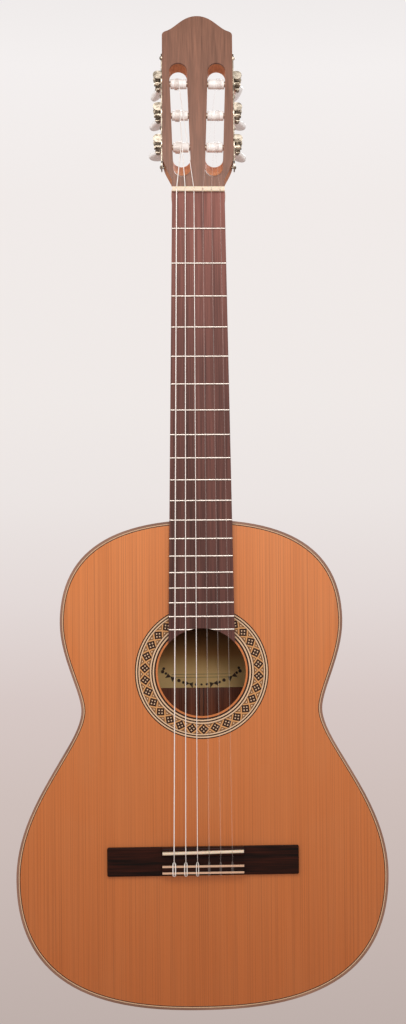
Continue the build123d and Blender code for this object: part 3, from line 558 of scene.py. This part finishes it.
age = paper.cloud(paper.stretched((60.0, 60.0, 60.0)), 4.0)
sheet_tone = paper.blend(age, (0.92, 0.59, 0.23), (1.0, 0.70, 0.31))
# Painted shadow: the label is darkened towards its top, where the soundboard's edge and the
# fingerboard's end shade the inside of the sound hole; the tint multiplied in below is this
# painted shadow.
shadow_start = label_low.z + 0.014
shadow_span = 0.046
painted_shadow_share = paper.sums("MULTIPLY_ADD", z, 1 / shadow_span, -shadow_start / shadow_span)
tint = paper.scale_of(
    painted_shadow_share,
    (0.0, 1.0),
    (0.45, (0.50, 0.36, 0.26)),
    (1.0, (0.14, 0.085, 0.055)),
)
sheet_tone = paper.blend(1.0, sheet_tone, tint, "MULTIPLY")
paper.colour(paper.blend(ink, sheet_tone, (0.07, 0.04, 0.025)))
hang("soundhole_label", paper)

# ---- binding and purfling ----
# Strips of pale reddish wood bent round both edges of the body, and a line of thin dark,
# light and dark veneers let into the soundboard just inside the front one.
binding_wood = Finish("binding_wood", roughness=0.36, Specular_IOR_Level=0.3)
streaks = binding_wood.cloud(binding_wood.stretched((12.0, 700.0, 12.0)), 2.0, 0.3)
binding_wood.colour(
    binding_wood.scale_of(streaks, (0.36, (0.20, 0.098, 0.062)), (0.64, (0.31, 0.165, 0.110))),
)
binding_wood.relief(streaks, 0.00002, 0.2)
hang("binding_top", binding_wood)
hang("binding_back", binding_wood)

veneer_lines = Finish("purfling_veneers", roughness=0.42, Specular_IOR_Level=0.2)
width_share = veneer_lines.nodes.new("ShaderNodeAttribute")
width_share.attribute_name = "across"
line_noise = veneer_lines.cloud(veneer_lines.stretched((400.0, 400.0, 400.0)), 2.0)
light_veneer = veneer_lines.blend(line_noise, (0.55, 0.34, 0.20), (0.70, 0.46, 0.29))
dark_veneer = veneer_lines.blend(line_noise, (0.030, 0.011, 0.006), (0.07, 0.025, 0.012))
across = width_share.outputs["Fac"]
# The outer dark line, next to the binding, is partly a dark veneer and partly painted shade of the
# body's rounded edge.
line_colour = veneer_lines.blend(
    veneer_lines.sums("GREATER_THAN", across, 0.06),
    dark_veneer,
    light_veneer,
)
line_colour = veneer_lines.blend(
    veneer_lines.sums("GREATER_THAN", across, 0.55),
    line_colour,
    dark_veneer,
)
veneer_lines.colour(line_colour)
purfling_mesh = frame["nodes"]["purfling_top"].data.copy()
purfling_mesh.materials.clear()
purfling_shape = bmesh.new()
purfling_shape.from_mesh(purfling_mesh)
bmesh.ops.remove_doubles(purfling_shape, verts=purfling_shape.verts, dist=1e-6)
share_layer = purfling_shape.verts.layers.float.new("across")
binding_mesh = frame["nodes"]["binding_top"].data
binding_tree = BVHTree.FromPolygons(
    [point.co for point in binding_mesh.vertices],
    [face.vertices for face in binding_mesh.polygons],
)
purfling_half_width = 0.0009
for vertex in purfling_shape.verts:
    away = binding_tree.find_nearest(vertex.co)[3]
    vertex[share_layer] = 1.0 if away > purfling_half_width else 0.0
purfling_shape.to_mesh(purfling_mesh)
purfling_shape.free()
purfling = new_piece("purfling_lines", purfling_mesh, veneer_lines)
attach(purfling, "root")
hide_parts("purfling_top")

# ---- neck ----
# Spanish cedar, one length for the shaft with the heel stacked under it, and a second for
# the head joined on a slant behind the nut. The heel ends in a cap of the back's wood.
neck_cedar = Finish("neck_cedar", roughness=0.34, Coat_Weight=0.4, Coat_Roughness=0.12)
plain_grain(neck_cedar, (0.60, 0.25, 0.115), (0.40, 0.14, 0.060), 520.0, 9.0)
hang("neck", neck_cedar)
hang("heel_cap", rosewood_back)

head_cedar = Finish("head_cedar", roughness=0.6, Specular_IOR_Level=0.15)
plain_grain(head_cedar, (0.66, 0.27, 0.125), (0.46, 0.16, 0.070), 520.0, 9.0)
hang("headstock", head_cedar)

# ---- head veneer ----
# A thin face of brown rosewood glued over the front of the head, with fine straight grain.
face_veneer = Finish(
    "head_face_veneer",
    roughness=0.4,
    Coat_Weight=0.1,
    Coat_Roughness=0.2,
    Specular_IOR_Level=0.35,
)
x, y, z = face_veneer.along()
fine = face_veneer.cloud(face_veneer.stretched((1600.0, 100.0, 34.0)), 2.0, 0.2)
broad = face_veneer.cloud(face_veneer.stretched((260.0, 40.0, 7.0)), 2.0, 0.4)
grain = face_veneer.sums(
    "ADD",
    face_veneer.sums("MULTIPLY", fine, 0.55),
    face_veneer.sums("MULTIPLY", broad, 0.45),
)
face_veneer.colour(
    face_veneer.scale_of(grain, (0.34, (0.130, 0.052, 0.027)), (0.66, (0.255, 0.108, 0.062))),
)
face_veneer.relief(fine, 0.00002, 0.3)
hang("head_veneer", face_veneer)

# ---- fingerboard and frets ----
# A flat board of rosewood, open-pored and oiled, with nineteen crowned nickel-silver
# wires hammered into sawn slots.
board_rosewood = Finish("fingerboard_rosewood", roughness=0.42, Specular_IOR_Level=0.2)
fine = board_rosewood.cloud(board_rosewood.stretched((900.0, 300.0, 14.0)), 3.0, 0.25)
broad = board_rosewood.cloud(board_rosewood.stretched((150.0, 60.0, 3.5)), 2.0, 0.8)
grain = board_rosewood.sums(
    "ADD",
    board_rosewood.sums("MULTIPLY", fine, 0.5),
    board_rosewood.sums("MULTIPLY", broad, 0.5),
)
board_tone = board_rosewood.scale_of(
    grain,
    (0.36, (0.062, 0.022, 0.016)),
    (0.64, (0.18, 0.066, 0.050)),
)
x, y, z = board_rosewood.along()
# Painted light: the board is coloured lighter towards the nut and darker towards the body,
# standing in for the light falling from above.
painted_light_along_board = board_rosewood.scale_of(
    board_rosewood.sums("MULTIPLY", z, -2.2),
    (0.0, 1.75),
    (0.4, 1.0),
    (0.9, 0.72),
)
board_rosewood.colour(board_rosewood.blend(1.0, board_tone, painted_light_along_board, "MULTIPLY"))
board_rosewood.gloss(fine, 0.4, 0.52)
board_rosewood.relief(fine, 0.00005, 0.5)
hang("fingerboard", board_rosewood)

fret_wire = Finish("fret_nickel_silver", roughness=0.3, Metallic=1.0)
scuffs = fret_wire.cloud(fret_wire.stretched((260.0, 900.0, 1600.0)), 3.0)
fret_wire.colour(fret_wire.blend(scuffs, (0.50, 0.42, 0.36), (0.68, 0.60, 0.54)))
fret_wire.gloss(scuffs, 0.22, 0.42)
hang("frets", fret_wire)

# ---- nut and saddle ----
# Two strips of polished bone, one above the fingerboard and one in the bridge's slot.
bone = Finish(
    "polished_bone",
    roughness=0.35,
    Subsurface_Weight=0.12,
    Coat_Weight=0.2,
    Coat_Roughness=0.2,
)
bone.shader.inputs["Subsurface Scale"].default_value = 0.002
marrow = bone.cloud(bone.stretched((160.0, 700.0, 700.0)), 3.0)
bone.colour(bone.blend(marrow, (0.66, 0.50, 0.34), (0.78, 0.66, 0.50)))
bone.gloss(marrow, 0.3, 0.42)
hang("nut", bone)
hang("saddle", bone)

# ---- bridge ----
# A block of near-black rosewood glued across the soundboard: flat wings, a ridge for the
# saddle, and a drilled tie block edged with two strips of cream wood.
bridge_wood = Finish("bridge_rosewood", roughness=0.36, Specular_IOR_Level=0.1)
fine = bridge_wood.cloud(bridge_wood.stretched((26.0, 600.0, 900.0)), 3.0, 0.3)
broad = bridge_wood.cloud(bridge_wood.stretched((9.0, 160.0, 160.0)), 2.0, 0.6)
grain = bridge_wood.sums(
    "ADD",
    bridge_wood.sums("MULTIPLY", fine, 0.5),
    bridge_wood.sums("MULTIPLY", broad, 0.5),
)
bridge_wood.colour(
    bridge_wood.scale_of(grain, (0.38, (0.005, 0.002, 0.001)), (0.66, (0.036, 0.007, 0.003))),
)
bridge_wood.gloss(fine, 0.34, 0.48)
bridge_wood.relief(fine, 0.00004, 0.4)
hang("bridge", bridge_wood)

strip_maple = Finish("tie_block_edging", roughness=0.4)
strip_lines = strip_maple.cloud(strip_maple.stretched((40.0, 900.0, 900.0)), 2.0)
strip_maple.colour(strip_maple.blend(strip_lines, (0.54, 0.31, 0.19), (0.68, 0.44, 0.29)))
hang("tie_block_strips", strip_maple)

# ---- tuning machines ----
# Brass side plates with ears that carry the worms, each worm turning a toothed wheel
# on the end of a roller; all screwed to the head's edges.
brass = Finish("tuner_brass", roughness=0.25, Metallic=1.0)
tarnish = brass.cloud(brass.stretched((220.0, 220.0, 220.0)), 4.0)
brass.colour(brass.scale_of(tarnish, (0.38, (0.16, 0.125, 0.09)), (0.62, (0.55, 0.47, 0.37))))
brass.gloss(tarnish, 0.2, 0.42)
for part in ("tuner_plate_bass", "tuner_plate_treble", "tuner_plate_screws"):
    hang(part, brass)
for number in range(1, 7):
    hang(f"tuner_gear_{number}", brass)
    hang(f"tuner_worm_{number}", brass)

# ---- rollers ----
# Ivory-coloured sleeves pressed on the rollers' shafts, grooved near the ends and drilled
# for the string, which is wound round each one from the middle outwards.
head_tilt = math.radians(15.0)
head_turn = Matrix.Rotation(-head_tilt, 4, "X")
sleeve_radius = 0.0049
sleeve_bore = 0.00305
groove_depth = 0.00022
winding_gap = 0.0003
turns_on_roller = 5
string_diameters = {6: 0.00110, 5: 0.00090, 4: 0.00075, 3: 0.00102, 2: 0.00082, 1: 0.00072}

sleeve_plastic = Finish("roller_ivory", roughness=0.3)
milk = sleeve_plastic.cloud(sleeve_plastic.stretched((300.0, 300.0, 300.0)), 3.0)
sleeve_plastic.colour(sleeve_plastic.blend(milk, (0.92, 0.88, 0.83), (0.97, 0.95, 0.92)))
sleeve_plastic.gloss(milk, 0.25, 0.38)

ridge_pitch = 0.00024
silver_wire = Finish("silver_plated_winding", roughness=0.36, Metallic=0.25)
x, y, z = silver_wire.along()
ridges = silver_wire.sums(
    "SINE",
    silver_wire.sums("MULTIPLY", silver_wire.sums("ADD", x, z), 2 * math.pi / ridge_pitch),
)
worn = silver_wire.cloud(silver_wire.stretched((90.0, 90.0, 18.0)), 3.0)
silver_wire.colour(silver_wire.blend(worn, (0.84, 0.76, 0.70), (0.98, 0.93, 0.88)))
silver_wire.gloss(worn, 0.28, 0.4)
silver_wire.relief(ridges, 0.00003, 0.4)

clear_nylon = Finish("clear_nylon", roughness=0.14, IOR=1.45, Alpha=0.09)
shade = clear_nylon.cloud(clear_nylon.stretched((60.0, 60.0, 12.0)), 2.0)
clear_nylon.colour(clear_nylon.blend(shade, (0.66, 0.55, 0.50), (0.82, 0.73, 0.68)))


def turn_profile(shape, profile, middle, steps=48):
    """A closed round body turned from (along X, radius) points about a middle."""
    places = [middle + head_turn @ Vector((run, 0.0, radius)) for run, radius in profile]
    points = [shape.verts.new(place) for place in places]
    edges = [shape.edges.new(pair) for pair in zip(points, points[1:])]
    bmesh.ops.spin(
        shape,
        geom=points + edges,
        cent=middle,
        axis=(1.0, 0.0, 0.0),
        angle=2 * math.pi,
        steps=steps,
        use_merge=True,
    )
    bmesh.ops.remove_doubles(shape, verts=shape.verts, dist=1e-6)
    bmesh.ops.recalc_face_normals(shape, faces=shape.faces)


def finished_mesh(name, shape):
    """Ends a shape: its mesh, shaded smooth."""
    mesh = bpy.data.meshes.new(name)
    shape.to_mesh(mesh)
    shape.free()
    mesh.polygons.foreach_set("use_smooth", [True] * len(mesh.polygons))
    return mesh


for number in range(1, 7):
    low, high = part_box(f"string_roller_{number}")
    middle = (low + high) / 2
    length = high.x - low.x
    end = length / 2
    ring_places = (end - 0.0010, end - 0.0022, end - 0.0034)
    profile = [(-end, sleeve_bore), (-end, sleeve_radius - 0.0004), (-end + 0.0004, sleeve_radius)]
    for place in ring_places:
        profile += [
            (-place - 0.00018, sleeve_radius),
            (-place, sleeve_radius - groove_depth),
            (-place + 0.00018, sleeve_radius),
        ]
    for place in reversed(ring_places):
        profile += [
            (place - 0.00018, sleeve_radius),
            (place, sleeve_radius - groove_depth),
            (place + 0.00018, sleeve_radius),
        ]
    profile += [(end - 0.0004, sleeve_radius), (end, sleeve_radius - 0.0004), (end, sleeve_bore)]
    sleeve_shape = bmesh.new()
    turn_profile(sleeve_shape, profile, middle)
    sleeve = new_piece(
        f"roller_sleeve_{number}",
        finished_mesh("roller_sleeve", sleeve_shape),
        sleeve_plastic,
    )
    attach(sleeve, f"winder_{number}")
    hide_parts(f"string_roller_{number}")

    thickness = string_diameters[number]
    outward = 1.0 if middle.x > 0 else -1.0
    coil_radius = sleeve_radius + thickness / 2 + winding_gap
    coil_shape = bmesh.new()
    start = middle + head_turn @ Vector((0.0, -coil_radius, 0.0))
    bmesh.ops.create_circle(
        coil_shape,
        segments=10,
        radius=thickness / 2,
        matrix=Matrix.Translation(start) @ head_turn,
    )
    bmesh.ops.spin(
        coil_shape,
        geom=coil_shape.verts[:] + coil_shape.edges[:],
        cent=middle,
        axis=(1.0, 0.0, 0.0),
        dvec=(outward * thickness * 1.03 / 28, 0.0, 0.0),
        angle=-2 * math.pi * turns_on_roller,
        steps=28 * turns_on_roller,
    )
    bmesh.ops.holes_fill(coil_shape, edges=coil_shape.edges)
    bmesh.ops.recalc_face_normals(coil_shape, faces=coil_shape.faces)
    wire = silver_wire if number > 3 else clear_nylon
    coil = new_piece(f"string_winding_{number}", finished_mesh("string_winding", coil_shape), wire)
    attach(coil, f"winder_{number}")

# ---- strings ----
# Three basses of silver-plated wire wound on silk and three trebles of clear nylon. Each
# runs over the nut and saddle, through the tie block, and back over it in a flat loop.
nut_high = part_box("nut")[1]
saddle_low, saddle_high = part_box("saddle")
block_low, block_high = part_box("tie_block_strips")
bridge_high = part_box("bridge")[1]
nut_spread = 0.0430
saddle_spread = 0.0574
rise_over_board = 0.0018
saddle_thickness = 0.0028
saddle_drop = 0.0006
hole_depth_in_block = 0.0042
loop_half_width = {6: 0.00125, 5: 0.0012, 4: 0.0011, 3: 0.0006, 2: 0.0006, 1: 0.0006}


def string_line(number):
    """The string's course from its roller to the tucked end of its knot."""
    half = string_diameters[number] / 2
    share = (6 - number) / 5 - 0.5
    at_nut = nut_spread * share
    at_saddle = saddle_spread * share
    low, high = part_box(f"string_roller_{number}")
    roller = (low + high) / 2
    leave = roller + head_turn @ Vector((0.0, -sleeve_radius - half - winding_gap, 0.0))
    over_nut = Vector((at_nut, -rise_over_board - half, nut_high.z * 0.35))
    saddle_share = (at_saddle - saddle_low.x) / (saddle_high.x - saddle_low.x)
    saddle_top = saddle_low.y + saddle_drop * saddle_share
    saddle_middle = (saddle_low.z + saddle_high.z) / 2
    lean = (saddle_high.z - saddle_low.z - saddle_thickness) / (saddle_high.x - saddle_low.x)
    over_saddle = Vector((at_saddle, saddle_top - half, saddle_middle + at_saddle * lean))
    front = block_high.z
    rear = block_low.z
    hole = bridge_high.y - hole_depth_in_block
    top = block_low.y - half - 0.00005
    wide = loop_half_width[number]
    down_neck = (over_saddle - over_nut).normalized()
    up_head = (leave - over_nut).normalized()
    into_hole = Vector((at_saddle, hole, front + 0.0010))
    down_saddle = (into_hole - over_saddle).normalized()
    loop = [
        (0.0, hole, front + 0.0010),
        (0.0, hole, front - 0.0020),
        (0.0, hole, rear + 0.0020),
        (0.0, hole, rear - 0.0008),
        (-0.3 * wide, hole - 0.0004, rear - 0.0020),
        (-wide, hole - 0.0022, rear - 0.0018),
        (-wide, top, rear - 0.0012),
        (-wide, top, rear + 0.0020),
        (-wide, top, front - 0.0020),
        (-wide, top, front + 0.0012),
        (-0.8 * wide, top + 0.0030, front + 0.0022),
        (0.0, top + 0.0046, front + 0.0026),
        (0.8 * wide, top + 0.0030, front + 0.0022),
        (wide, top, front + 0.0012),
        (wide, top, front - 0.0020),
        (wide, top, rear + 0.0020),
        (wide, top, rear - 0.0012),
        (wide, hole - 0.0022, rear - 0.0020),
        (0.4 * wide, hole - 0.0010, rear - 0.0026),
        (-0.7 * wide, hole - 0.0010, rear - 0.0024),
    ]
    tied = [Vector((at_saddle + across, deep, up)) for across, deep, up in loop]
    return [
        leave,
        leave - up_head * 0.004,
        over_nut + up_head * 0.0016,
        over_nut + (up_head - down_neck) * 0.0003,
        over_nut + down_neck * 0.0016,
        over_saddle - down_neck * 0.0030,
        over_saddle - down_neck * 0.0010,
        over_saddle + down_saddle * 0.0010,
        *tied,
    ]


for number in range(1, 7):
    course = bpy.data.curves.new(f"string_course_{number}", "CURVE")
    course.dimensions = "3D"
    course.bevel_depth = string_diameters[number] / 2
    course.bevel_resolution = 3
    course.resolution_u = 6
    course.use_fill_caps = True
    run = course.splines.new("NURBS")
    places = string_line(number)
    run.points.add(len(places) - 1)
    for point, place in zip(run.points, places):
        point.co = (*place, 1.0)
    run.order_u = 3
    run.use_endpoint_u = True
    string = new_piece(f"string_{number}_line", course, silver_wire if number > 3 else clear_nylon)
    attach(string, "root")
    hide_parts(f"string_{number}")

# ---- buttons ----
# Oval pearl-plastic grips on the ends of the worm shafts, each held by a small brass
# collar and waisted where finger and thumb take hold.
pearl = Finish("pearl_button", roughness=0.25, Coat_Weight=0.4, Coat_Roughness=0.08)
swirl = pearl.cloud(pearl.stretched((240.0, 240.0, 150.0)), 3.0, 2.5)
pearl.colour(
    pearl.scale_of(
        swirl,
        (0.35, (0.88, 0.84, 0.80)),
        (0.5, (0.95, 0.93, 0.90)),
        (0.62, (0.99, 0.98, 0.97)),
    ),
)

button_turns = {6: 5.0, 5: 25.0, 4: 45.0, 3: 55.0, 2: -15.0, 1: -25.0}
button_start = 0.026
button_wide = 0.0095
button_thick = 0.0033
button_long = 0.0090
collar_reach = 0.0022
collar_profile = (
    (0.0000, 0.00145),
    (0.0000, 0.00250),
    (0.0006, 0.00285),
    (0.0014, 0.00255),
    (0.0026, 0.00240),
    (0.0034, 0.00290),
    (0.0042, 0.00270),
    (0.0042, 0.00145),
)

for number in range(1, 7):
    key_joint = next(
        joint for joint in frame["joints"] if joint["name"] == f"button_turn_{number}"
    )
    pivot = Vector(key_joint["pos_m"])
    shaft_back = -Vector(key_joint["axis"]).normalized()
    collar_start = pivot + shaft_back * button_start
    button_centre = collar_start + shaft_back * button_long
    to_button = Matrix.Translation(button_centre) @ head_turn @ Matrix.Rotation(
        math.radians(90),
        4,
        "X",
    )
    to_button = to_button @ Matrix.Rotation(math.radians(button_turns[number]), 4, "Z")
    button_shape = bmesh.new()
    bmesh.ops.create_uvsphere(button_shape, u_segments=48, v_segments=28, radius=1.0)
    for vertex in button_shape.verts:
        flat = math.copysign(abs(vertex.co.y) ** 0.6, vertex.co.y)
        fullness = 1.0 - 0.10 * math.exp(-(((vertex.co.z - 0.72) / 0.30) ** 2))
        vertex.co = Vector(
            (vertex.co.x * button_wide * fullness, flat * button_thick, vertex.co.z * button_long),
        )
    bmesh.ops.transform(button_shape, matrix=to_button, verts=button_shape.verts)
    button = new_piece(f"button_{number}", finished_mesh("button", button_shape), pearl)
    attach(button, f"key_{number}")
    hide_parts(f"tuner_button_{number}")

    collar_shape = bmesh.new()
    points = [
        collar_shape.verts.new((radius, 0.0, collar_reach - run))
        for run, radius in collar_profile
    ]
    edges = [collar_shape.edges.new(pair) for pair in zip(points, points[1:])]
    bmesh.ops.spin(
        collar_shape,
        geom=points + edges,
        cent=(0, 0, 0),
        axis=(0, 0, 1),
        angle=2 * math.pi,
        steps=32,
        use_merge=True,
    )
    bmesh.ops.remove_doubles(collar_shape, verts=collar_shape.verts, dist=1e-6)
    bmesh.ops.recalc_face_normals(collar_shape, faces=collar_shape.faces)
    collar_place = Matrix.Translation(collar_start) @ head_turn @ Matrix.Rotation(
        math.radians(90),
        4,
        "X",
    )
    bmesh.ops.transform(collar_shape, matrix=collar_place, verts=collar_shape.verts)
    collar = new_piece(
        f"button_collar_{number}",
        finished_mesh("button_collar", collar_shape),
        brass,
    )
    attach(collar, f"key_{number}")
